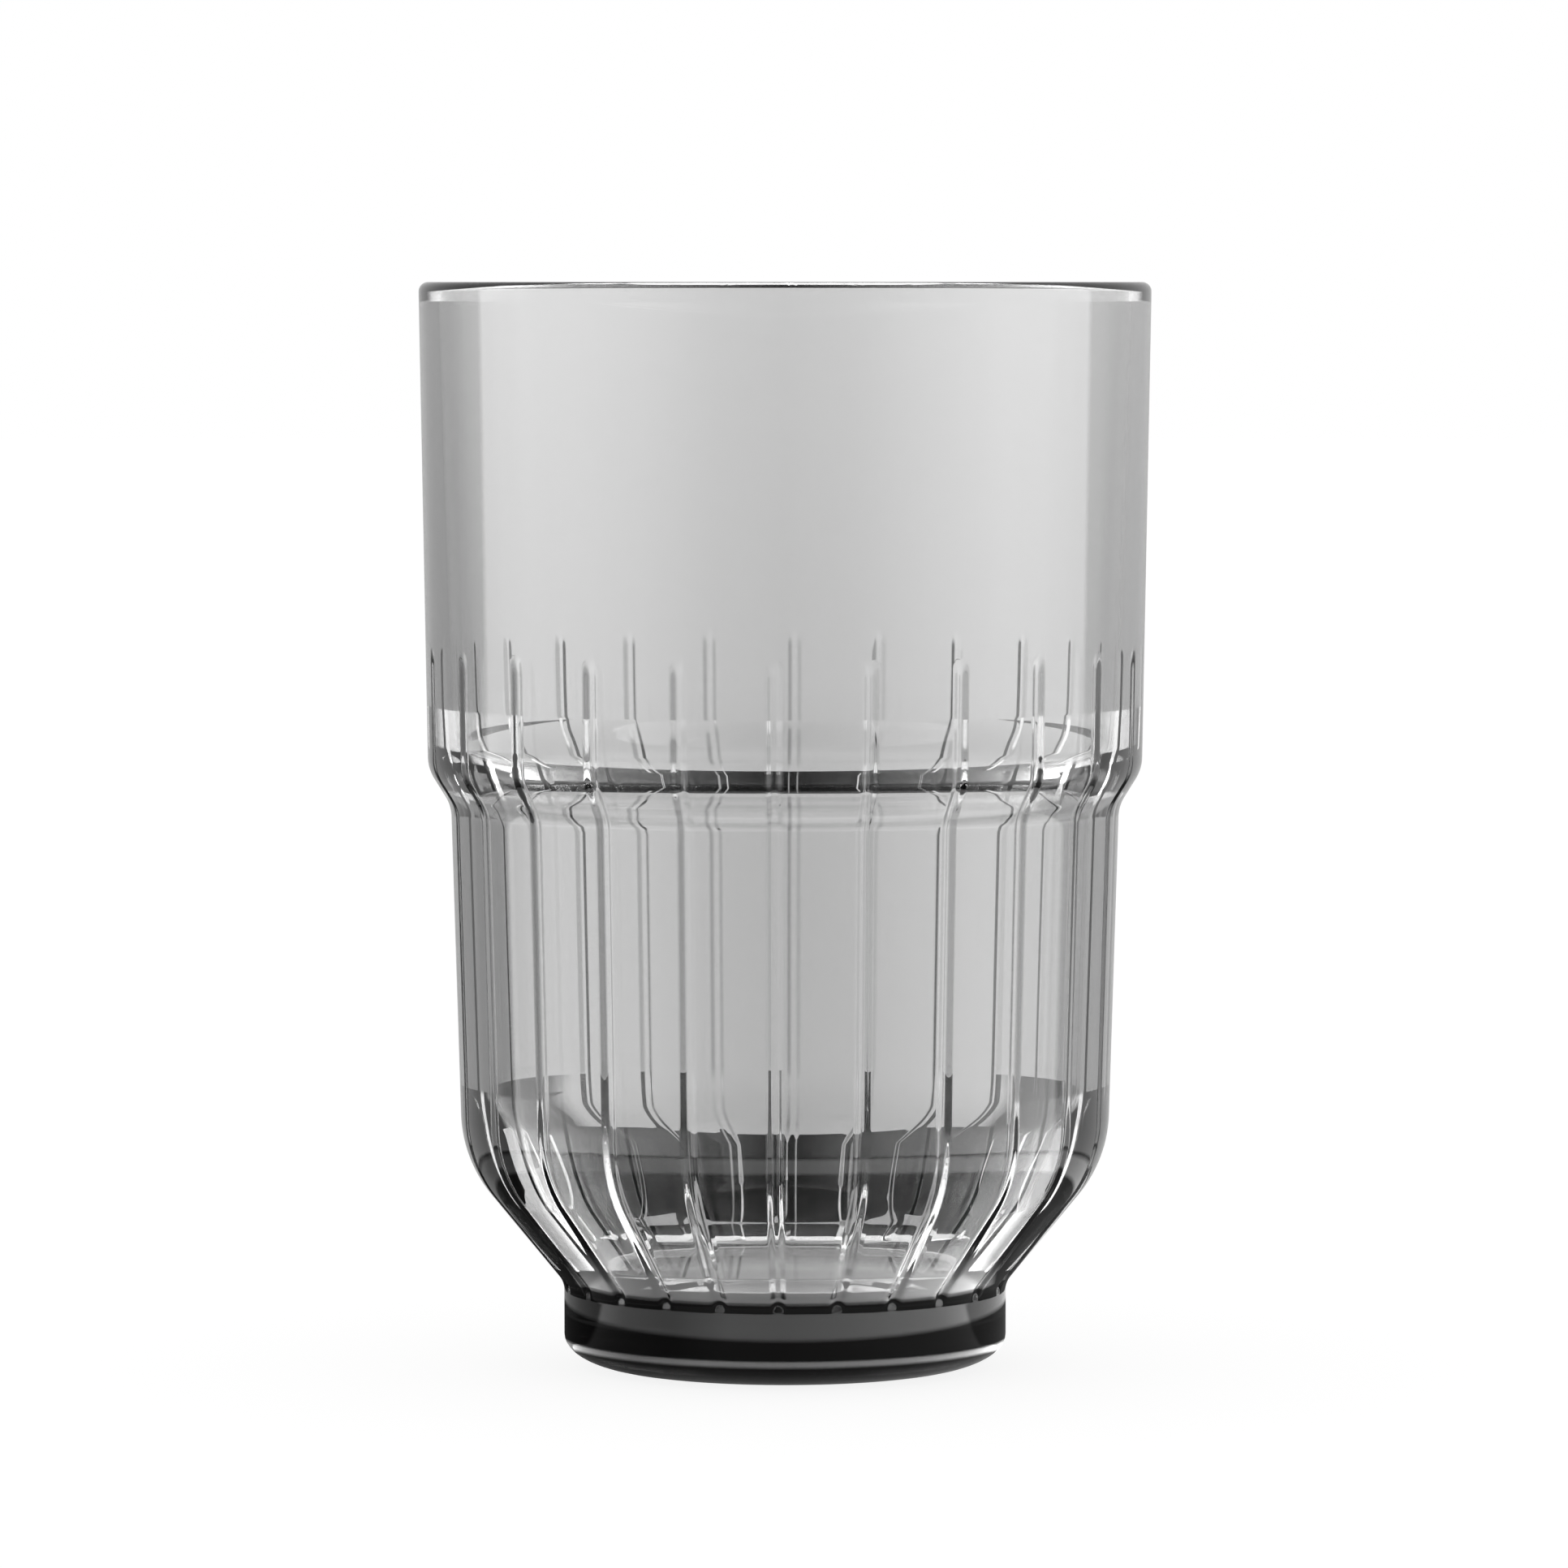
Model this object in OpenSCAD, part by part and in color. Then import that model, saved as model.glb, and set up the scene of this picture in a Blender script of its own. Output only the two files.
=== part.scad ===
// Stacking tumbler in smoke-grey pressed glass. The glass is one piece: a
// smooth drinking band above a step, a drafted lower wall with upright
// grooves, a round shoulder, a cone and a solid foot. The origin is the
// middle of the foot's resting ring, with +Z up through the mouth.

/* [Rim and drinking band] */
// Height from the table to the lip
height = 126; // [110:1:140]
// Outer diameter of the lip
rim_d = 84.8; // [82:0.2:92]
// Thickness of the wall at the lip
rim_wall = 2.3; // [1.8:0.1:2.8]
// Height over which the wall thins to the lip
lip_h = 2.2; // [1.8:0.1:3]
// How much the inside flares over that height
lip_flare = 0.25; // [0.1:0.05:0.4]
// Rounding where the flare begins
lip_foot_round = 3; // [1:0.5:5]
// Slope of the drinking band's outside, from upright
band_draft = 1; // [0.6:0.1:1.6]
// Slope of the drinking band's inside, from upright
band_inner_draft = 1.7; // [1.2:0.1:2]

/* [Step] */
// Height of the step's upper corner
step_top_z = 69.7; // [68.7:0.1:73]
// Height of the step's lower corner
step_bottom_z = 65.4; // [61:0.1:66.4]
// Outer diameter straight below the step
waist_d = 77.5; // [75:0.5:78.5]
// Rounding of the step's upper corner
step_top_round = 4.9; // [3:0.1:5.6]
// Rounding of the step's lower corner
step_bottom_round = 4.7; // [2:0.1:5.4]
// Wall between the outside and the inside at the step's lower corner
waist_wall = 3.3; // [2.8:0.1:3.8]
// How far the inner step's upper corner lies above the outer one
inner_top_rise = 1.5; // [0.5:0.1:3]
// How far the inner step's lower corner lies above the outer one
inner_bottom_rise = 2.3; // [0.8:0.1:3]
// Rounding of the inner step's upper corner
inner_top_round = 5.4; // [3:0.1:6]
// Rounding of the inner step's lower corner
inner_bottom_round = 7.4; // [3:0.1:8]
// Extra thickness that the wall gains towards the inner step
bead = 0.3; // [0.1:0.1:1]
// Height above the inner step over which the wall gains it
bead_h = 5.9; // [4:0.1:9]
// Rounding where the wall begins to gain it
bead_round = 6; // [1:0.1:8]

/* [Lower wall and cone] */
// Slope of the lower wall's outside, from upright
lower_draft = 1.7; // [1:0.1:2.2]
// Slope of the lower wall's inside, from upright
lower_inner_draft = 1.8; // [1:0.1:2.2]
// Height of the corner between the lower wall and the cone
shoulder_z = 24.3; // [22:0.1:26]
// Rounding of the shoulder
shoulder_round = 15.1; // [8:0.1:16]

/* [Grooves] */
// Number of upright grooves
groove_count = 24; // [12:1:30]
// Width of a groove
groove_w = 1.3; // [1:0.1:2.4]
// Depth of a groove
groove_depth = 0.3; // [0.2:0.05:0.8]
// Height at which the grooves run out into the drinking band
groove_top_z = 84; // [80:0.5:92]
// Length over which a groove comes up to its full depth
groove_runout = 2; // [1.5:0.5:8]
// Depth of a groove at its upper end
groove_end_depth = 0.08; // [0.06:0.01:0.2]
// Turn of the groove ring about the axis
groove_phase = -1.7; // [-15:0.1:15]

/* [Foot] */
// Outer diameter of the foot
foot_d = 51.4; // [46:0.2:56]
// Height of the corner between the foot and the cone
foot_h = 9.9; // [8:0.1:12]
// Rounding of the neck between the foot and the cone
neck_round = 3; // [1:0.1:3.6]
// Width of the soft rounding under the foot
foot_round_w = 7.8; // [4:0.1:10]
// Height of the soft rounding under the foot
foot_round_h = 3.8; // [2:0.1:5]
// Width of the flat ring that the glass stands on
foot_ring_w = 1.5; // [1:0.1:3]
// Depth of the hollow inside the resting ring
recess_h = 1; // [0.5:0.1:2]

/* [Cavity floor] */
// Height of the cavity's flat floor
floor_z = 12.3; // [11:0.1:13.4]
// Diameter of the flat floor
floor_d = 39.8; // [34:0.2:42]
// Rounding of the floor's edge
floor_round = 5.8; // [2:0.1:8]
// Diameter at which the floor's raised edge meets the bowl's slope
heel_d = 46.8; // [45:0.2:48]
// Height of that corner
heel_z = 14; // [13.6:0.1:15]
// Rounding of that corner
heel_round = 2.1; // [1:0.1:4]
// Height of the corner between the bowl's slope and the inner wall
bowl_z = 26.5; // [25:0.1:28]
// Rounding of that corner
bowl_round = 19.3; // [8:0.1:21]

/* [Hidden] */
smoke = [0.36, 0.37, 0.38, 0.55];
arc_steps = 8;
overrun = 5;
// Share of each half of the lip that its rounding takes
lip_round_share = 0.96;
rim_r = rim_d / 2;
waist_r = waist_d / 2;
foot_r = foot_d / 2;
floor_r = floor_d / 2;
heel_r = heel_d / 2;
lip_round = rim_wall / 2 * lip_round_share;
lip_inner_round = (rim_wall / 2 - lip_flare) * lip_round_share;
band_r_at_step = rim_r - (height - step_top_z) * tan(band_draft);
shoulder_r = waist_r - (step_bottom_z - shoulder_z) * tan(lower_draft);
cone_slope = atan((shoulder_r - foot_r) / (shoulder_z - foot_h));
ring_outer_r = foot_r - foot_round_w;
ring_inner_r = ring_outer_r - foot_ring_w;
inner_step_top_z = step_top_z + inner_top_rise;
inner_step_bottom_z = step_bottom_z + inner_bottom_rise;
bead_z = inner_step_top_z + bead_h;
inner_rim_r = rim_r - rim_wall;
inner_bead_r = inner_rim_r - (height - bead_z) * tan(band_inner_draft);
inner_step_r = inner_rim_r - (height - inner_step_top_z) * tan(band_inner_draft) - bead;
inner_waist_r = waist_r - waist_wall;
inner_bowl_r = inner_waist_r - (inner_step_bottom_z - bowl_z) * tan(lower_inner_draft);

function unit(v) = v / norm(v);
function left_of(v) = [-v.y, v.x];
function flat(p) = [p[0], p[1]];

// Points of the rounding of radius r at corner b of a path a-b-c, moved
// sideways by inset, towards the right of the path.
function rounding(a, b, c, r, inset) =
    let (
        in_dir = unit(b - a),
        out_dir = unit(c - b),
        side = sign(cross(in_dir, out_dir)),
        bend = acos(in_dir * out_dir),
        centre = b + unit(out_dir - in_dir) * r / cos(bend / 2),
        start = -side * left_of(in_dir)
    )
    [for (i = [0:arc_steps])
        let (turn = side * bend * i / arc_steps)
        centre + (r + side * inset)
            * [start.x * cos(turn) - start.y * sin(turn), start.x * sin(turn) + start.y * cos(turn)]];

// The path through a list of corners [radius, height, rounding], without
// its first and last corner.
function rounded_path(corners, inset = 0) =
    [for (i = [1:len(corners) - 2])
        each rounding(flat(corners[i - 1]), flat(corners[i]), flat(corners[i + 1]),
            corners[i][2], inset)];

// Corners of the outside, from the middle of the lip down to the foot.
outer_corners = [
    [rim_r - rim_wall / 2, height, 0],
    [rim_r, height, lip_round],
    [band_r_at_step, step_top_z, step_top_round],
    [waist_r, step_bottom_z, step_bottom_round],
    [shoulder_r, shoulder_z, shoulder_round],
    [foot_r, foot_h, neck_round],
    [foot_r, foot_round_h, 0],
];

// Corners of the inside, from the middle of the floor up to the lip.
inner_corners = [
    [0, floor_z, 0],
    [floor_r, floor_z, floor_round],
    [heel_r, heel_z, heel_round],
    [inner_bowl_r, bowl_z, bowl_round],
    [inner_waist_r, inner_step_bottom_z, inner_bottom_round],
    [inner_step_r, inner_step_top_z, inner_top_round],
    [inner_bead_r, bead_z, bead_round],
    [inner_rim_r, height - lip_h, lip_foot_round],
    [inner_rim_r + lip_flare, height, lip_inner_round],
    [rim_r - rim_wall / 2, height, 0],
];

// The soft rounding under the foot, a quarter of an ellipse.
foot_curve = [for (i = [0:arc_steps])
    let (turn = 90 * i / arc_steps)
    [foot_r - foot_round_w * (1 - cos(turn)), foot_round_h * (1 - sin(turn))]];

// The hollow under the foot, a shallow dome that ends on the axis.
recess_curve = [for (i = [0:arc_steps])
    let (turn = 90 * i / arc_steps)
    [ring_inner_r * cos(turn), recess_h * sin(turn)]];

// The smooth glass, before the grooves are pressed into it.
module blank() {
    rotate_extrude($fn = 180)
        polygon(concat(
            rounded_path(outer_corners),
            foot_curve,
            recess_curve,
            [[0, floor_z]],
            rounded_path(inner_corners)));
}

// Side view of the space that one groove takes, from its floor outwards.
module groove_side() {
    run_in_z = groove_top_z - groove_runout;
    run_in_r = rim_r - (height - run_in_z) * tan(band_draft) - groove_depth;
    end_r = rim_r - (height - groove_top_z) * tan(band_draft) - groove_end_depth;
    // The run-out goes on above the round end, so that the end is cut whole.
    past_end = [end_r, groove_top_z] + ([end_r, groove_top_z] - [run_in_r, run_in_z]) / 2;
    floor_path = rounded_path([for (i = [1:5]) outer_corners[i]], groove_depth);
    // The floor meets the foot's surface above the corner of foot and cone.
    end_z = foot_h + groove_depth / sin(cone_slope);
    outside_r = rim_r + overrun;
    polygon(concat(
        [[outside_r, past_end.y], past_end, [run_in_r, run_in_z]],
        floor_path,
        [[foot_r, end_z], [outside_r, end_z]]));
}

// Front view of a groove: a slot with a round upper end.
module groove_front() {
    round_z = groove_top_z - groove_w / 2;
    translate([0, round_z])
        circle(d = groove_w, $fn = 32);
    translate([-groove_w / 2, 0])
        square([groove_w, round_z]);
}

// One groove's cutter, in the plane of the X axis.
module groove() {
    intersection() {
        rotate([90, 0, 0])
            linear_extrude(groove_w + overrun, center = true)
                groove_side();
        rotate([90, 0, 90])
            linear_extrude(rim_r + overrun)
                groove_front();
    }
}

module tumbler() {
    color(smoke)
        difference() {
            blank();
            for (i = [0:groove_count - 1])
                rotate(groove_phase - 90 + i * 360 / groove_count)
                    groove();
        }
}

tumbler();
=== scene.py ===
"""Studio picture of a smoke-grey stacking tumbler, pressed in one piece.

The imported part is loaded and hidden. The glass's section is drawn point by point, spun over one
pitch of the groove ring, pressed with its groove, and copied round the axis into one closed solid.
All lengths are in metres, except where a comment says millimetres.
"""

import logging
import math
from dataclasses import dataclass, field
from enum import Enum

import bpy
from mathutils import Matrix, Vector


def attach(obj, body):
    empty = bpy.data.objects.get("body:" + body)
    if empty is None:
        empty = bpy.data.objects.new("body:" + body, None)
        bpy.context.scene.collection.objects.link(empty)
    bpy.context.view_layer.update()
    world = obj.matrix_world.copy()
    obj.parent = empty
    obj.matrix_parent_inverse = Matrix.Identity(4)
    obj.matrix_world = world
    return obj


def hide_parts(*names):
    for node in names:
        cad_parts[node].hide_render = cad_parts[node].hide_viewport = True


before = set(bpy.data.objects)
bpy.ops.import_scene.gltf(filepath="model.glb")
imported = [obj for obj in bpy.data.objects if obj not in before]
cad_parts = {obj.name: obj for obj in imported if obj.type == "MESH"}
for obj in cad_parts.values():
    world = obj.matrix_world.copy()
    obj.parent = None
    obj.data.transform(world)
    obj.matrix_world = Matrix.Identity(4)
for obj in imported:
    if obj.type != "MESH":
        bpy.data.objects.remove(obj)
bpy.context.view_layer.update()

log = logging.getLogger("tumbler_scene")

MM = 0.001
ORIGIN = (0.0, 0.0, 0.0)
UP = (0.0, 0.0, 1.0)
FULL_TURN = 2 * math.pi
# Points closer than this become one where two copies of the pitch meet
MERGE_DISTANCE = 0.003 * MM
# Points closer to the axis than this lie on it
AXIS_REACH = 0.01 * MM
# Distance to either side over which a slope is measured
NUDGE = 0.002 * MM
# Share of a straight span, at each end of it, that gets no added row
SPAN_END = 0.01

Socket = bpy.types.NodeSocket
Stops = tuple[tuple[float, float], ...]


class Ray(Enum):
    """Kinds of ray that the Light Path node tells apart."""

    CAMERA = "Is Camera Ray"
    SHADOW = "Is Shadow Ray"
    DIFFUSE = "Is Diffuse Ray"
    MIRRORED = "Is Glossy Ray"
    REFRACTED = "Is Transmission Ray"


def deselect_all() -> None:
    """Leaves object mode with nothing selected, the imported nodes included."""
    if bpy.context.object is not None and bpy.context.object.mode != "OBJECT":
        bpy.ops.object.mode_set(mode="OBJECT")
    bpy.ops.object.select_all(action="DESELECT")


def ease(value: float) -> float:
    """Eases between two levels.

    Args:
        value: how far the passage is, from 0 to 1, or beyond either end.

    Returns:
        The eased share, from 0 to 1.
    """
    clipped = min(1.0, max(0.0, value))
    return clipped * clipped * (3 - 2 * clipped)


def tan_deg(angle: float) -> float:
    """Tangent of an angle.

    Args:
        angle: the angle in degrees.

    Returns:
        Its tangent.
    """
    return math.tan(math.radians(angle))


def unit(outward: float, upward: float) -> tuple[float, float]:
    """Direction of a pair of parts.

    Args:
        outward: the part away from the axis.
        upward: the part along the axis.

    Returns:
        The same direction with length 1.
    """
    return tuple(Vector((outward, upward)).normalized())


def quarter_turn(steps: int) -> list[tuple[float, float]]:
    """Places on a quarter of a circle.

    Args:
        steps: number of steps from its start to its end.

    Returns:
        The cosine and sine at each place.
    """
    turns = [math.pi / 2 * step / steps for step in range(steps + 1)]
    return [(math.cos(turn), math.sin(turn)) for turn in turns]


def grey(level: float) -> tuple[float, float, float, float]:
    """A neutral colour.

    Args:
        level: how light it is, from 0 for black to 1 for white.

    Returns:
        The colour, with full alpha.
    """
    return (level, level, level, 1.0)


def compass(stops: Stops) -> list[tuple[float, float]]:
    """Places of a ramp that runs round the axis.

    Args:
        stops: degrees from the camera's side, right positive, and strengths.

    Returns:
        Places from 0 to 1, and strengths.
    """
    return [(0.5 + degrees / 360, strength) for degrees, strength in stops]


def altitude(stops: Stops) -> list[tuple[float, float]]:
    """Places of a ramp that runs from straight down to straight up by the sine of the height.

    Args:
        stops: degrees above the horizon, and strengths.

    Returns:
        Places from 0 to 1, and strengths.
    """
    return [(0.5 + math.sin(math.radians(degrees)) / 2, strength) for degrees, strength in stops]


class NodeSheet:
    """Places nodes in a node tree and links them."""

    def __init__(self, tree: bpy.types.NodeTree) -> None:
        """Starts from an empty tree.

        Args:
            tree: the node tree of a material or a world.
        """
        self.nodes = tree.nodes
        self.links = tree.links
        self.nodes.clear()
        self.path = self.nodes.new("ShaderNodeLightPath")

    def add(
            self, kind: str, inputs: dict[str | int, object] | None = None,
            **settings: object) -> bpy.types.Node:
        """Adds one node.

        Args:
            kind: the node's type.
            inputs: values or sockets for its inputs, by name or number.
            settings: its other settings.

        Returns:
            The node.
        """
        node = self.nodes.new(kind)
        for name, value in settings.items():
            setattr(node, name, value)
        for name, value in (inputs or {}).items():
            if isinstance(value, Socket):
                self.links.new(value, node.inputs[name])
            else:
                node.inputs[name].default_value = value
        return node

    def math(self, operation: str, *values: float | Socket) -> Socket:
        """Adds a Math node.

        Args:
            operation: what it does.
            values: what it does it to.

        Returns:
            Its result.
        """
        return self.add("ShaderNodeMath", dict(enumerate(values)), operation=operation).outputs[0]

    def blend(self, share: Socket, low: float | Socket, high: float | Socket) -> Socket:
        """Blends two values.

        Args:
            share: share of the second value, from 0 to 1.
            low: the first value.
            high: the second value.

        Returns:
            The blended value.
        """
        # Inputs 0, 2 and 3 are the node's factor and its two plain values
        inputs = {0: share, 2: low, 3: high}
        return self.add(
            "ShaderNodeMix", inputs, data_type="FLOAT", clamp_factor=True).outputs[0]

    def blend_shaders(self, share: Socket, low: Socket, high: Socket) -> Socket:
        """Blends two shaders.

        Args:
            share: share of the second shader, from 0 to 1.
            low: the first shader.
            high: the second shader.

        Returns:
            The blended shader.
        """
        return self.add("ShaderNodeMixShader", {0: share, 1: low, 2: high}).outputs[0]

    def step(self, value: Socket, start: float, end: float) -> Socket:
        """Makes a smooth passage.

        Args:
            value: the value that it follows.
            start: where the passage is at 0.
            end: where it has come to 1.

        Returns:
            How far the passage is, from 0 to 1.
        """
        inputs = {"Value": value, "From Min": start, "From Max": end}
        return self.add(
            "ShaderNodeMapRange", inputs, interpolation_type="SMOOTHSTEP").outputs["Result"]

    def ramp(self, value: Socket, stops: list[tuple[float, float]]) -> Socket:
        """Looks a strength up in a list of stops.

        Args:
            value: the value, from 0 to 1.
            stops: places and strengths, in order.

        Returns:
            The strength.
        """
        top = max(strength for _, strength in stops)
        node = self.add("ShaderNodeValToRGB", {"Fac": value})
        elements = node.color_ramp.elements
        while len(elements) < len(stops):
            # It gets its own place below
            elements.new(0.5)
        for element, (place, strength) in zip(elements, stops):
            element.position = place
            element.color = grey(strength / top)
        return self.math("MULTIPLY", node.outputs["Color"], top)

    def bearing(self, right: Socket, back: Socket) -> Socket:
        """Turns a place or direction into a place on a ramp that runs round the axis.

        Args:
            right: its part towards the camera's right.
            back: its part away from the camera.

        Returns:
            The place from 0 to 1, with the camera's side at 0.5.
        """
        turn = self.math("ARCTAN2", right, self.math("MULTIPLY", back, -1.0))
        return self.math("MULTIPLY_ADD", turn, 1 / FULL_TURN, 0.5)

    def kind(self, ray: Ray) -> Socket:
        """Tells one kind of ray from the others.

        Args:
            ray: the kind.

        Returns:
            1 for that kind and 0 for all others.
        """
        return self.path.outputs[ray.value]


@dataclass(frozen=True)
class Row:
    """One point of the section's outline, with the direction that the surface faces there."""

    radius: float
    height: float
    facing: tuple[float, float]
    outside: bool = False


@dataclass(frozen=True)
class Corner:
    """One corner of an outline before it is rounded, with the number of steps of its arc."""

    radius: float
    height: float
    rounding: float = 0.0
    steps: int = 1

    @property
    def point(self) -> Vector:
        """The corner as a point of the outline's plane."""
        return Vector((self.radius, self.height))


def rounded_corner(before: Corner, corner: Corner, after: Corner, outside: bool) -> list[Row]:
    """Rows of the arc that rounds one corner. The glass lies on the path's right.

    Args:
        before: the corner before it.
        corner: the corner to round.
        after: the corner after it.
        outside: whether the rows belong to the outside.

    Returns:
        The rows from the arc's start to its end.
    """
    towards = (corner.point - before.point).normalized()
    onwards = (after.point - corner.point).normalized()
    bend = towards.angle(onwards)
    side = math.copysign(1.0, towards.x * onwards.y - towards.y * onwards.x)
    reach = corner.rounding / math.cos(bend / 2)
    centre = corner.point + (onwards - towards).normalized() * reach
    rows = []
    for step in range(corner.steps + 1):
        turn = side * bend * step / corner.steps
        along = Vector((
            towards.x * math.cos(turn) - towards.y * math.sin(turn),
            towards.x * math.sin(turn) + towards.y * math.cos(turn)))
        facing = Vector((-along.y, along.x))
        place = centre - facing * side * corner.rounding
        rows.append(Row(place.x, place.y, (facing.x, facing.y), outside))
    return rows


def rounded_path(corners: list[Corner], outside: bool = False) -> list[Row]:
    """Rows of an outline through a list of corners, its first and last corner left out.

    Args:
        corners: the corners, in order.
        outside: whether the rows belong to the outside.

    Returns:
        The rows, in order.
    """
    rows: list[Row] = []
    for before, corner, after in zip(corners, corners[1:], corners[2:]):
        rows.extend(rounded_corner(before, corner, after, outside))
    return rows


def divided(rows: list[Row], low: float, high: float, spacing: float) -> list[Row]:
    """Adds evenly spaced rows to the straight spans of an outline that runs downwards.

    Args:
        rows: the outline.
        low: height at which the added rows end.
        high: height at which they begin.
        spacing: largest distance in height between them.

    Returns:
        The outline with the added rows.
    """
    result = [rows[0]]
    for start, end in zip(rows, rows[1:]):
        top, bottom = min(high, start.height), max(low, end.height)
        count = math.ceil((top - bottom) / spacing)
        if start.height - end.height > spacing and count > 0:
            for index in range(count + 1):
                height = top + (bottom - top) * index / count
                share = (start.height - height) / (start.height - end.height)
                if SPAN_END < share < 1 - SPAN_END:
                    radius = start.radius + (end.radius - start.radius) * share
                    result.append(Row(radius, height, start.facing, start.outside))
        result.append(end)
    return result


@dataclass(frozen=True)
class SmokeGlass:
    """Soda-lime glass, tinted grey in the mass and fire-polished, with a pale even shadow."""

    name: str = "smoke_glass"
    ior: float = 1.52
    roughness: float = 0.0
    absorption_per_m: float = 112.0
    shadow_grey: float = 0.8

    def make(self) -> bpy.types.Material:
        """Builds the material.

        Returns:
            The glass: clear surfaces, an absorbing mass, and a see-through shadow.
        """
        material = bpy.data.materials.new(self.name)
        material.use_nodes = True
        sheet = NodeSheet(material.node_tree)
        surface = sheet.add("ShaderNodeBsdfPrincipled", {
            "Base Color": grey(1.0), "Roughness": self.roughness, "IOR": self.ior,
            "Transmission Weight": 1.0})
        clear = sheet.add("ShaderNodeBsdfTransparent", {"Color": grey(self.shadow_grey)})
        soft = sheet.math("MAXIMUM", sheet.kind(Ray.SHADOW), sheet.kind(Ray.DIFFUSE))
        mass = sheet.add("ShaderNodeVolumeAbsorption", {
            "Color": grey(0.0), "Density": self.absorption_per_m})
        sheet.add("ShaderNodeOutputMaterial", {
            "Surface": sheet.blend_shaders(soft, surface.outputs[0], clear.outputs[0]),
            "Volume": mass.outputs[0]})
        return material


@dataclass(frozen=True)
class Grooves:
    """The ring of upright grooves, with soft edges and a round upper end, down to the foot.

    Attributes:
        count: number of grooves.
        width: width between the middles of a groove's edges.
        depth: full depth.
        edge: width of a soft edge.
        top: height of the upper end.
        runout: length over which a groove comes to its full depth.
        end_share: share of the depth at the upper end.
        bottom: height of the lower end.
        bottom_ease: length over which a groove fades out there.
        phase: turn of the ring about the axis.
        rows_above: how far above the upper end the mesh's close rows begin.
        rows_below: how far below the run-out they end.
        top_spacing: largest distance between them.
        bottom_spacing: the same at the lower end.
    """

    count: int = 24
    width: float = 1.2 * MM
    depth: float = 0.3 * MM
    edge: float = 0.95 * MM
    top: float = 83.6 * MM
    runout: float = 1.8 * MM
    end_share: float = 0.25
    bottom: float = 9.0 * MM
    bottom_ease: float = 1.3 * MM
    phase: float = math.radians(-1.7)
    rows_above: float = 0.4 * MM
    rows_below: float = 1.0 * MM
    top_spacing: float = 0.3 * MM
    bottom_spacing: float = 0.25 * MM

    @property
    def pitch(self) -> float:
        """Angle from one groove to the next."""
        return FULL_TURN / self.count

    def depth_at(self, across: float, height: float) -> float:
        """Depth of the groove at a place on the outside.

        Args:
            across: distance from the groove's middle line along the surface.
            height: height above the table.

        Returns:
            The depth.
        """
        half = self.width / 2
        round_height = self.top - half
        distance = math.hypot(across, max(0.0, height - round_height))
        wall = ease((half + self.edge / 2 - distance) / self.edge)
        ramp = self.end_share + (1 - self.end_share) * ease((self.top - height) / self.runout)
        end = ease((height - self.bottom) / self.bottom_ease)
        return self.depth * wall * ramp * end

    def slopes_at(self, across: float, height: float) -> tuple[float, float]:
        """How fast the depth grows at a place on the outside.

        Args:
            across: distance from the groove's middle line along the surface.
            height: height above the table.

        Returns:
            Its growth across the groove and with height.
        """
        right, left = (self.depth_at(across + side * NUDGE, height) for side in (1, -1))
        above, below = (self.depth_at(across, height + side * NUDGE) for side in (1, -1))
        return (right - left) / (2 * NUDGE), (above - below) / (2 * NUDGE)

    def add_rows(self, rows: list[Row]) -> list[Row]:
        """Adds the close rows that the grooves' ends need.

        Args:
            rows: the outside's outline.

        Returns:
            The outline with the added rows.
        """
        rows = divided(
            rows, self.top - self.runout - self.rows_below, self.top + self.rows_above,
            self.top_spacing)
        return divided(rows, self.bottom, self.bottom + self.bottom_ease, self.bottom_spacing)


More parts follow.
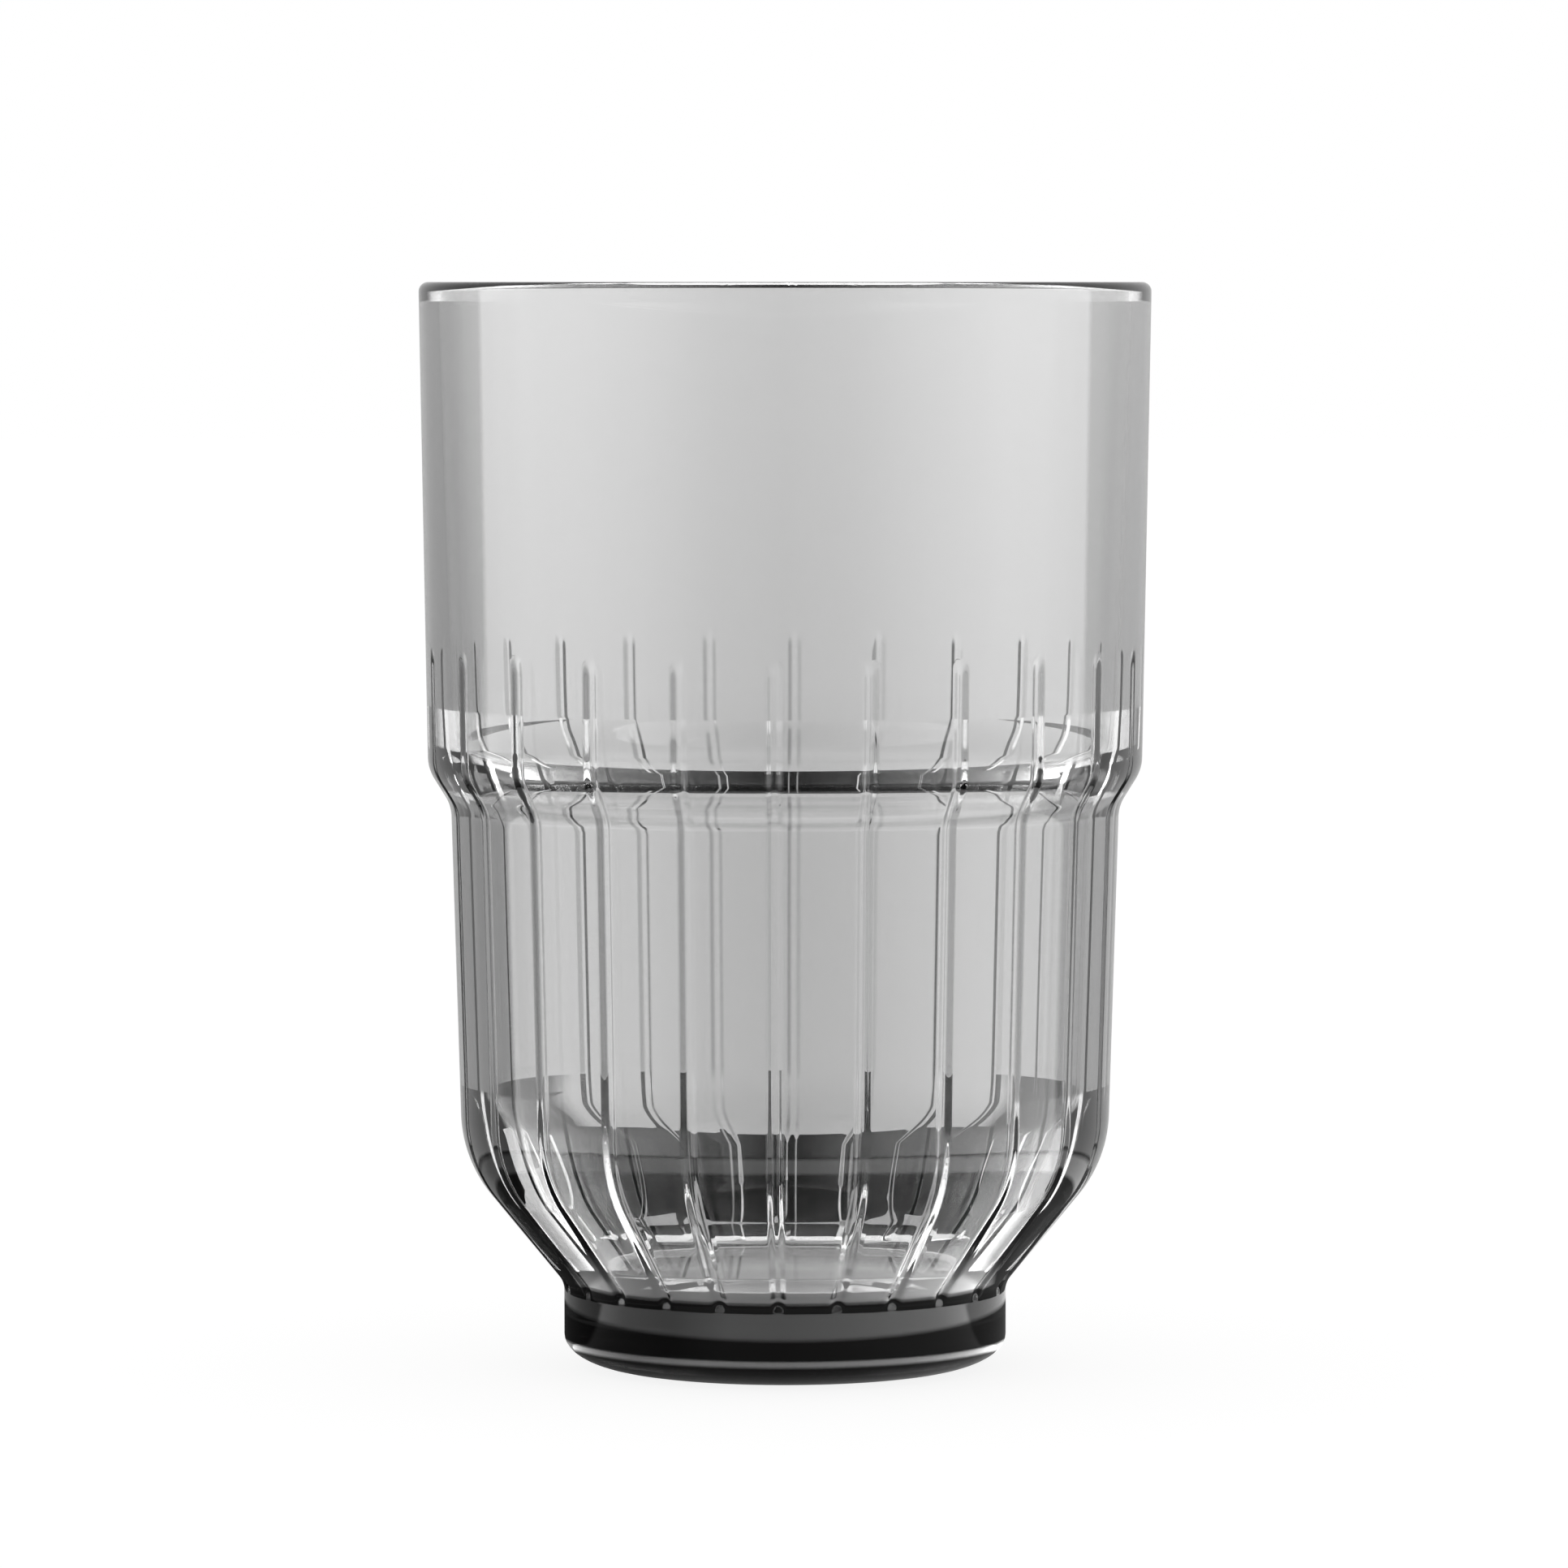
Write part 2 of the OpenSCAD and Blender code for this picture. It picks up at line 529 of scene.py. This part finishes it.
@dataclass(frozen=True)
class Tumbler:
    """The whole glass: its section, its grooves and its finish. Drafts are degrees from upright."""

    name: str = "tumbler_glass"
    height: float = 126.0 * MM
    rim_radius: float = 42.4 * MM
    rim_wall: float = 2.3 * MM
    lip_rounding: float = 1.1 * MM
    lip_height: float = 2.2 * MM
    lip_flare: float = 0.25 * MM
    lip_inner_rounding: float = 0.86 * MM
    lip_foot_rounding: float = 3.0 * MM
    band_draft: float = 1.0
    band_inner_draft: float = 1.7
    step_top: float = 69.7 * MM
    step_bottom: float = 65.4 * MM
    waist_radius: float = 38.75 * MM
    step_top_rounding: float = 4.9 * MM
    step_bottom_rounding: float = 4.7 * MM
    waist_wall: float = 3.3 * MM
    inner_top_rise: float = 1.5 * MM
    inner_bottom_rise: float = 2.3 * MM
    inner_top_rounding: float = 5.4 * MM
    inner_bottom_rounding: float = 7.4 * MM
    bead: float = 0.3 * MM
    bead_height: float = 5.9 * MM
    bead_rounding: float = 6.0 * MM
    lower_draft: float = 1.7
    lower_inner_draft: float = 1.8
    shoulder_height: float = 24.3 * MM
    shoulder_rounding: float = 15.1 * MM
    bowl_height: float = 26.5 * MM
    bowl_rounding: float = 19.3 * MM
    heel_radius: float = 23.4 * MM
    heel_height: float = 14.0 * MM
    heel_rounding: float = 2.1 * MM
    floor_height: float = 12.3 * MM
    floor_radius: float = 19.9 * MM
    floor_rounding: float = 5.8 * MM
    foot_radius: float = 25.7 * MM
    foot_height: float = 9.9 * MM
    neck_rounding: float = 3.0 * MM
    foot_round_width: float = 7.8 * MM
    foot_round_height: float = 3.8 * MM
    ring_width: float = 1.5 * MM
    recess_height: float = 1.0 * MM
    # Steps of the arcs in the mesh
    lip_steps: int = 9
    step_steps: int = 9
    shoulder_steps: int = 14
    neck_steps: int = 10
    foot_steps: int = 12
    recess_steps: int = 9
    floor_steps: int = 5
    heel_steps: int = 4
    bowl_steps: int = 12
    bead_steps: int = 3
    # The mesh's columns to one side of a groove's middle line, in millimetres along the rim
    columns: tuple[float, ...] = (0.14, 0.28, 0.42, 0.56, 0.7, 0.84, 0.98, 1.12, 1.8, 3.2)
    grooves: Grooves = field(default_factory=Grooves)
    finish: SmokeGlass = field(default_factory=SmokeGlass)

    def outer_rows(self) -> list[Row]:
        """Lays out the outside.

        Returns:
            Its rows, from the lip down to the foot's side.
        """
        band_radius = self.rim_radius - (self.height - self.step_top) * tan_deg(self.band_draft)
        lower_height = self.step_bottom - self.shoulder_height
        shoulder_radius = self.waist_radius - lower_height * tan_deg(self.lower_draft)
        return self.grooves.add_rows(rounded_path([
            Corner(self.rim_radius - self.rim_wall / 2, self.height),
            Corner(self.rim_radius, self.height, self.lip_rounding, self.lip_steps),
            Corner(band_radius, self.step_top, self.step_top_rounding, self.step_steps),
            Corner(
                self.waist_radius, self.step_bottom, self.step_bottom_rounding, self.step_steps),
            Corner(
                shoulder_radius, self.shoulder_height, self.shoulder_rounding,
                self.shoulder_steps),
            Corner(self.foot_radius, self.foot_height, self.neck_rounding, self.neck_steps),
            Corner(self.foot_radius, self.foot_round_height),
        ], outside=True))

    def foot_rows(self) -> list[Row]:
        """Lays out the foot.

        Returns:
            The rows of its soft rounding, the resting ring and the hollow, up to the axis.
        """
        ring_radius = self.foot_radius - self.foot_round_width - self.ring_width
        rounding = [
            Row(
                self.foot_radius - self.foot_round_width * (1 - cosine),
                self.foot_round_height * (1 - sine),
                unit(cosine / self.foot_round_width, -sine / self.foot_round_height))
            for cosine, sine in quarter_turn(self.foot_steps)]
        hollow = [
            Row(
                ring_radius * cosine, self.recess_height * sine,
                unit(-cosine / ring_radius, -sine / self.recess_height))
            for cosine, sine in quarter_turn(self.recess_steps)]
        return rounding + hollow[:-1] + [Row(0.0, self.recess_height, (0.0, -1.0))]

    def inner_rows(self) -> list[Row]:
        """Lays out the inside.

        Returns:
            Its rows, from the middle of the floor up to the lip.
        """
        inner_rim = self.rim_radius - self.rim_wall
        top = self.step_top + self.inner_top_rise
        bottom = self.step_bottom + self.inner_bottom_rise
        bead_top = top + self.bead_height
        slope = tan_deg(self.band_inner_draft)
        step_radius = inner_rim - (self.height - top) * slope - self.bead
        bead_radius = inner_rim - (self.height - bead_top) * slope
        waist = self.waist_radius - self.waist_wall
        bowl = waist - (bottom - self.bowl_height) * tan_deg(self.lower_inner_draft)
        return [Row(0.0, self.floor_height, (0.0, 1.0))] + rounded_path([
            Corner(0.0, self.floor_height),
            Corner(self.floor_radius, self.floor_height, self.floor_rounding, self.floor_steps),
            Corner(self.heel_radius, self.heel_height, self.heel_rounding, self.heel_steps),
            Corner(bowl, self.bowl_height, self.bowl_rounding, self.bowl_steps),
            Corner(waist, bottom, self.inner_bottom_rounding, self.step_steps),
            Corner(step_radius, top, self.inner_top_rounding, self.step_steps),
            Corner(bead_radius, bead_top, self.bead_rounding, self.bead_steps),
            Corner(
                inner_rim, self.height - self.lip_height, self.lip_foot_rounding,
                self.bead_steps),
            Corner(
                inner_rim + self.lip_flare, self.height, self.lip_inner_rounding,
                self.lip_steps),
            Corner(self.rim_radius - self.rim_wall / 2, self.height),
        ])

    def section(self) -> list[Row]:
        """Lays out the whole outline.

        Returns:
            Its rows, from the axis under the foot, over the lip, to the axis on the floor.
        """
        return (self.outer_rows() + self.foot_rows())[::-1] + self.inner_rows()[::-1]

    def build(self) -> bpy.types.Object:
        """Models the glass.

        Returns:
            The finished piece, at the origin, with its finish.
        """
        rows = self.section()
        deselect_all()
        bpy.ops.mesh.primitive_plane_add(size=MM)
        piece = bpy.context.object
        piece.name = piece.data.name = self.name
        self._draw_section(rows)
        columns = self._spin_pitch()
        self._press_pitch(piece.data, rows, columns)
        self._copy_round_axis()
        bpy.ops.object.shade_smooth()
        self._face_surface(piece.data)
        piece.data.materials.append(self.finish.make())
        return piece

    def _draw_section(self, rows: list[Row]) -> None:
        """Turns the new plane into the section's outline, one extruded point after another.

        Args:
            rows: the outline.
        """
        bpy.ops.object.mode_set(mode="EDIT")
        bpy.ops.mesh.select_all(action="SELECT")
        bpy.ops.mesh.merge(type="CENTER")
        # In the same edit mesh, new points would take the merged ones' numbers out of order
        bpy.ops.object.mode_set(mode="OBJECT")
        bpy.ops.object.mode_set(mode="EDIT")
        bpy.ops.mesh.select_all(action="SELECT")
        here = Vector(ORIGIN)
        for index, row in enumerate(rows):
            there = Vector((row.radius, 0.0, row.height))
            if index == 0:
                bpy.ops.transform.translate(value=there - here)
            else:
                bpy.ops.mesh.extrude_vertices_move(
                    TRANSFORM_OT_translate={"value": there - here})
            here = there

    def _spin_pitch(self) -> list[float]:
        """Spins the outline, column by column, over one pitch.

        Returns:
            The columns' places, as shares of half a pitch from the groove's middle line.
        """
        half_angle = self.grooves.pitch / 2
        side = [place * MM / (self.rim_radius * half_angle) for place in self.columns] + [1.0]
        places = [-share for share in side[::-1]] + [0.0] + side
        bpy.ops.mesh.select_all(action="SELECT")
        for here, there in zip(places, places[1:]):
            bpy.ops.mesh.spin(
                steps=1, angle=(there - here) * half_angle, center=ORIGIN, axis=UP,
                use_auto_merge=False)
        bpy.ops.object.mode_set(mode="OBJECT")
        return places

    def _press_pitch(self, mesh: bpy.types.Mesh, rows: list[Row], columns: list[float]) -> None:
        """Gathers the columns towards the groove where the glass tapers, and presses the groove.

        The direction that each place faces goes into an attribute, as shares outwards, round
        and upwards.

        Args:
            mesh: the mesh of one pitch.
            rows: the outline.
            columns: places of the columns.
        """
        facings = mesh.attributes.new("facing", "FLOAT_VECTOR", "POINT")
        for vertex in mesh.vertices:
            column, index = divmod(vertex.index, len(rows))
            row = rows[index]
            share = columns[column]
            spread = self.rim_radius / max(row.radius, self.foot_radius)
            turn = spread * share / (1 + (spread - 1) * abs(share)) * self.grooves.pitch / 2
            outward, upward = row.facing
            radius, height, facing = row.radius, row.height, Vector((outward, 0.0, upward))
            if row.outside:
                across = turn * radius
                depth = self.grooves.depth_at(across, height)
                sideways, rising = self.grooves.slopes_at(across, height)
                radius -= outward * depth
                height -= upward * depth
                facing += Vector((
                    -upward * outward * rising, sideways, outward * outward * rising))
            turn += self.grooves.phase - math.pi / 2
            vertex.co = (radius * math.cos(turn), radius * math.sin(turn), height)
            facings.data[vertex.index].vector = facing.normalized()

    def _copy_round_axis(self) -> None:
        """Copies the pitch round the axis and joins the copies into one closed solid."""
        others = self.grooves.count - 1
        bpy.ops.object.mode_set(mode="EDIT")
        bpy.ops.mesh.select_all(action="SELECT")
        bpy.ops.mesh.spin(
            steps=others, angle=others * self.grooves.pitch, center=ORIGIN, axis=UP, dupli=True)
        bpy.ops.mesh.select_all(action="SELECT")
        bpy.ops.mesh.remove_doubles(threshold=MERGE_DISTANCE)
        bpy.ops.mesh.normals_make_consistent(inside=False)
        bpy.ops.object.mode_set(mode="OBJECT")

    def _face_surface(self, mesh: bpy.types.Mesh) -> None:
        """Gives the smooth surface the exact directions that its places face.

        Args:
            mesh: the whole glass.
        """
        facings = mesh.attributes["facing"]
        normals = []
        for vertex, item in zip(mesh.vertices, facings.data):
            outward, around, upward = item.vector
            flat = Vector((vertex.co.x, vertex.co.y))
            out = flat.normalized() if flat.length > AXIS_REACH else Vector((0.0, 0.0))
            normal = Vector((
                outward * out.x - around * out.y, outward * out.y + around * out.x, upward))
            normals.append(normal.normalized())
        mesh.attributes.remove(facings)
        mesh.normals_split_custom_set_from_vertices(normals)


@dataclass(frozen=True)
class Table:
    """A pale table top that glows in bands round the foot, for what the glass mirrors only.

    The glass mirrors the studio beyond those bands, and shows the studio through the table.

    Attributes:
        name: name of the object and its material.
        size: length of a side.
        drop: how far it lies under the glass, so that the two don't touch.
        paleness: its colour's lightness.
        glow: strength that the camera sees, besides its colour.
        bands: strengths by distance from the axis, in millimetres.
        turns: shares of those strengths by degrees round the axis.
        reach: distance from the axis at which the bands end, in millimetres.
        fade: length over which they fade out before it, in millimetres.
    """

    name: str = "table_top"
    size: float = 12.0
    drop: float = 0.05 * MM
    paleness: float = 0.36
    glow: float = 0.86
    bands: Stops = (
        (26, 0.1), (27.5, 2.0), (31, 2.0), (32, 0.9), (33.5, 0.7), (36, 0.1), (72, 0.1),
        (77, 1.0), (100, 1.0), (112, 0.0))
    turns: Stops = (
        (-180, 0.3), (-99, 0.3), (-96, 1.3), (-80, 1.0), (-50, 0.9), (-25, 1.5), (0, 1.5),
        (25, 1.8), (50, 2.3), (75, 2.6), (94, 3.2), (97, 1.3), (180, 0.8))
    reach: float = 120.0
    fade: float = 12.0

    def build(self) -> bpy.types.Object:
        """Models the table top.

        Returns:
            The plane that the glass stands on.
        """
        deselect_all()
        bpy.ops.mesh.primitive_plane_add(size=self.size, location=(0.0, 0.0, -self.drop))
        plane = bpy.context.object
        plane.name = self.name
        plane.data.materials.append(self._finish())
        return plane

    def _finish(self) -> bpy.types.Material:
        """Builds the table's material.

        Returns:
            The material.
        """
        material = bpy.data.materials.new(self.name)
        material.use_nodes = True
        sheet = NodeSheet(material.node_tree)
        place = sheet.add("ShaderNodeTexCoord").outputs["Object"]
        away = sheet.add("ShaderNodeVectorMath", {0: place}, operation="LENGTH").outputs["Value"]
        right, back, _ = sheet.add("ShaderNodeSeparateXYZ", {0: place}).outputs
        share = sheet.ramp(sheet.bearing(right, back), compass(self.turns))
        strength = sheet.ramp(
            sheet.math("MULTIPLY", away, 1 / (self.reach * MM)),
            [(radius / self.reach, level) for radius, level in self.bands])
        lit = sheet.add("ShaderNodeEmission", {
            "Strength": sheet.math("MULTIPLY", share, strength)})
        matt = sheet.add("ShaderNodeBsdfDiffuse", {"Color": grey(self.paleness)})
        glow = sheet.add("ShaderNodeEmission", {
            "Strength": sheet.math("MULTIPLY", sheet.kind(Ray.CAMERA), self.glow)})
        seen = sheet.add("ShaderNodeAddShader", {0: matt.outputs[0], 1: glow.outputs[0]})
        gone = sheet.add("ShaderNodeBsdfTransparent")
        refracted = sheet.kind(Ray.REFRACTED)
        mirrored = sheet.kind(Ray.MIRRORED)
        # A refracted ray counts as a mirrored one too
        near = sheet.math(
            "MULTIPLY", sheet.math("SUBTRACT", mirrored, refracted),
            sheet.step(away, self.reach * MM, (self.reach - self.fade) * MM))
        by_glass = sheet.blend_shaders(near, gone.outputs[0], lit.outputs[0])
        top = sheet.blend_shaders(
            sheet.math("MAXIMUM", refracted, mirrored), seen.outputs[0], by_glass)
        sheet.add("ShaderNodeOutputMaterial", {"Surface": top})
        return material


@dataclass(frozen=True)
class Studio:
    """The studio round the glass: a pale backdrop, a soft box on each side, dark by the camera.

    The stops give strengths by degrees round the axis, from the camera's side with right
    positive, and shares of those by degrees above the horizon.

    Attributes:
        name: name of the world.
        plain: strength that lights the matt table.
        backdrop: strength that the camera sees.
        boxes: what the glass mirrors, round the axis.
        box_heights: the same by height.
        overhead: strength of the lamp overhead, which shows in the first mirror image only.
        overhead_edge: upward parts of a direction between which that lamp comes in.
        first_bounce: ray depths between which a mirror image stops being the first one.
        beyond: what is seen through the glass, round the axis.
        beyond_heights: the same by height.
        apron: what is seen through the glass below the horizon, round the axis.
        apron_heights: the same by height.
        apron_edge: upward parts of a direction between which the apron comes in.
    """

    name: str = "studio"
    plain: float = 0.45
    backdrop: float = 1.0
    boxes: Stops = (
        (-180, 0.6), (-112, 0.5), (-110, 2.9), (-90, 2.9), (-74, 2.6), (-47, 1.8), (-23, 0.65),
        (0, 0.1), (23, 0.65), (47, 1.9), (74, 3.2), (90, 3.2), (110, 3.0), (112, 0.8), (180, 0.6))
    box_heights: Stops = ((-90, 0.1), (-35, 0.2), (-20, 1.0), (50, 1.0), (70, 0.4), (90, 0.3))
    overhead: float = 8.0
    overhead_edge: tuple[float, float] = (0.55, 0.8)
    first_bounce: tuple[float, float] = (1.8, 1.2)
    beyond: Stops = (
        (-180, 1.1), (-172, 1.05), (-163, 0.62), (-110, 0.57), (-106, 1.3), (-74, 1.3),
        (-47, 0.8), (-20, 0.2), (0, 0.05), (20, 0.2), (47, 0.8), (74, 1.5), (106, 1.5),
        (110, 0.85), (163, 0.85), (172, 1.05), (180, 1.1))
    beyond_heights: Stops = (
        (-90, 1.2), (-45, 1.2), (-30, 1.0), (0, 1.0), (9, 1.2), (18, 1.15), (24, 0.95),
        (32, 0.65), (42, 0.4), (56, 0.3), (90, 0.3))
    apron: Stops = (
        (-180, 3.3), (-164, 3.3), (-158, 7.0), (-105, 7.0), (-90, 4.0), (-60, 4.0), (-30, 2.0),
        (0, 1.0), (30, 2.0), (60, 4.0), (90, 4.0), (105, 7.0), (158, 7.0), (164, 3.3),
        (180, 3.3))
    apron_heights: Stops = (
        (-90, 0.3), (-55, 0.4), (-46, 0.9), (-34, 0.9), (-29, 0.33), (90, 0.33))
    apron_edge: tuple[float, float] = (-0.12, -0.2)

    def build(self) -> bpy.types.World:
        """Makes the studio the scene's world.

        Returns:
            The world.
        """
        world = bpy.data.worlds.new(self.name)
        bpy.context.scene.world = world
        world.use_nodes = True
        sheet = NodeSheet(world.node_tree)
        direction = sheet.add("ShaderNodeTexCoord").outputs["Generated"]
        right, back, up = sheet.add("ShaderNodeSeparateXYZ", {0: direction}).outputs
        round_place = sheet.bearing(right, back)
        up_place = sheet.math("MULTIPLY_ADD", up, 0.5, 0.5)

        def panorama(turns: Stops, heights: Stops) -> Socket:
            """Looks a strength up by direction.

            Args:
                turns: strengths by degrees round the axis.
                heights: shares of them by degrees above the horizon.

            Returns:
                The strength.
            """
            return sheet.math(
                "MULTIPLY", sheet.ramp(round_place, compass(turns)),
                sheet.ramp(up_place, altitude(heights)))

        first = sheet.step(sheet.path.outputs["Ray Depth"], *self.first_bounce)
        lamp = sheet.math("MULTIPLY", first, sheet.step(up, *self.overhead_edge))
        mirrored = sheet.blend(lamp, panorama(self.boxes, self.box_heights), self.overhead)
        seen_through = sheet.blend(
            sheet.step(up, *self.apron_edge), panorama(self.beyond, self.beyond_heights),
            panorama(self.apron, self.apron_heights))
        strength = sheet.blend(sheet.kind(Ray.MIRRORED), self.plain, mirrored)
        strength = sheet.blend(sheet.kind(Ray.REFRACTED), strength, seen_through)
        strength = sheet.blend(sheet.kind(Ray.CAMERA), strength, self.backdrop)
        background = sheet.add("ShaderNodeBackground", {"Color": grey(1.0), "Strength": strength})
        sheet.add("ShaderNodeOutputWorld", {"Surface": background.outputs[0]})
        return world


@dataclass(frozen=True)
class PaintedShadeCard:
    """Painted shade: a black sheet bent round the back of the table, standing in for the dark
    studio behind the table's edge. It shows only through the glass.

    Attributes:
        name: name of the object and its material.
        radius: distance from the axis.
        top: height of its upper edge.
        bottom: height of its lower edge.
        begins: degrees from straight behind the glass between which it comes in on both sides.
        ends: degrees between which it goes out again.
        sides: number of the bend's flat sides, over the full turn.
    """

    name: str
    radius: float
    top: float
    bottom: float
    begins: tuple[float, float]
    ends: tuple[float, float]
    sides: int = 96

    def build(self) -> bpy.types.Object:
        """Models the card.

        Returns:
            The bent card.
        """
        deselect_all()
        bpy.ops.mesh.primitive_cylinder_add(
            vertices=self.sides, radius=self.radius, depth=self.top - self.bottom,
            end_fill_type="NOTHING", location=(0.0, 0.0, (self.top + self.bottom) / 2))
        card = bpy.context.object
        card.name = self.name
        card.visible_camera = card.visible_diffuse = False
        card.visible_glossy = card.visible_shadow = False
        card.data.materials.append(self._finish())
        return card

    def _finish(self) -> bpy.types.Material:
        """Builds the card's material.

        Returns:
            The material: black, as painted shade, where the card is, and clear round the rest of
                the bend.
        """
        material = bpy.data.materials.new(self.name)
        material.use_nodes = True
        sheet = NodeSheet(material.node_tree)
        place = sheet.add("ShaderNodeTexCoord").outputs["Object"]
        across, back, _ = sheet.add("ShaderNodeSeparateXYZ", {0: place}).outputs
        turn = sheet.math("ABSOLUTE", sheet.math("ARCTAN2", across, back))
        begun = sheet.step(turn, *map(math.radians, self.begins))
        ended = sheet.step(turn, *map(math.radians, self.ends))
        gone = sheet.add("ShaderNodeBsdfTransparent")
        # Black emission that stands in for shade seen through the glass
        dark = sheet.add("ShaderNodeEmission", {"Strength": 0.0})
        card = sheet.blend_shaders(
            sheet.math("SUBTRACT", begun, ended), gone.outputs[0], dark.outputs[0])
        sheet.add("ShaderNodeOutputMaterial", {"Surface": card})
        return material


# Painted shade: gives the dark band in the bowl and the middle of the black ring in the step. It
# begins before 0 degrees, so it has no gap straight behind the glass.
FAR_SHADE_CARD = PaintedShadeCard(
    name="far_painted_shade", radius=873.0 * MM, top=-150.0 * MM, bottom=-520.0 * MM,
    begins=(-2.0, -1.0), ends=(13.0, 18.0))
# Painted shade that gives the ring's sides
NEAR_SHADE_CARD = PaintedShadeCard(
    name="near_painted_shade", radius=150.0 * MM, top=15.0 * MM, bottom=-42.0 * MM,
    begins=(15.0, 19.0), ends=(50.0, 58.0))


@dataclass(frozen=True)
class StudioCamera:
    """A long lens level with the lip, tipped slightly down."""

    name: str = "camera"
    lens_mm: float = 200.0
    sensor_mm: float = 36.0
    clip_start: float = 0.01
    clip_end: float = 50.0
    place: tuple[float, float, float] = (-0.00012, -1.0098, 0.12595)
    tip_down: float = 3.2956

    def build(self) -> bpy.types.Object:
        """Sets up the camera and makes it the scene's own.

        Returns:
            The camera.
        """
        data = bpy.data.cameras.new(self.name)
        data.lens = self.lens_mm
        data.sensor_width = self.sensor_mm
        data.clip_start = self.clip_start
        data.clip_end = self.clip_end
        camera = bpy.data.objects.new(self.name, data)
        camera.location = self.place
        camera.rotation_euler = (math.radians(90 - self.tip_down), 0.0, 0.0)
        bpy.context.scene.collection.objects.link(camera)
        bpy.context.scene.camera = camera
        return camera


def set_light_paths() -> None:
    """Lets light pass often enough through the thick foot, without the noise of focused light."""
    cycles = bpy.context.scene.cycles
    cycles.max_bounces = 32
    cycles.transmission_bounces = 32
    cycles.glossy_bounces = 16
    cycles.transparent_max_bounces = 32
    cycles.caustics_reflective = False
    cycles.caustics_refractive = False


def main() -> None:
    """Builds the studio and the glass in it."""
    logging.basicConfig(level=logging.INFO, format="%(name)s: %(message)s")
    bpy.context.scene.view_settings.view_transform = "Standard"
    set_light_paths()
    for setting in (StudioCamera(), Studio(), Table(), FAR_SHADE_CARD, NEAR_SHADE_CARD):
        log.info("setting: %s", setting.build().name)
    piece = Tumbler().build()
    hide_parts("tumbler")
    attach(piece, "root")
    log.info(
        "%s: %d points, %d faces", piece.name, len(piece.data.vertices), len(piece.data.polygons))


if __name__ == "__main__":
    main()
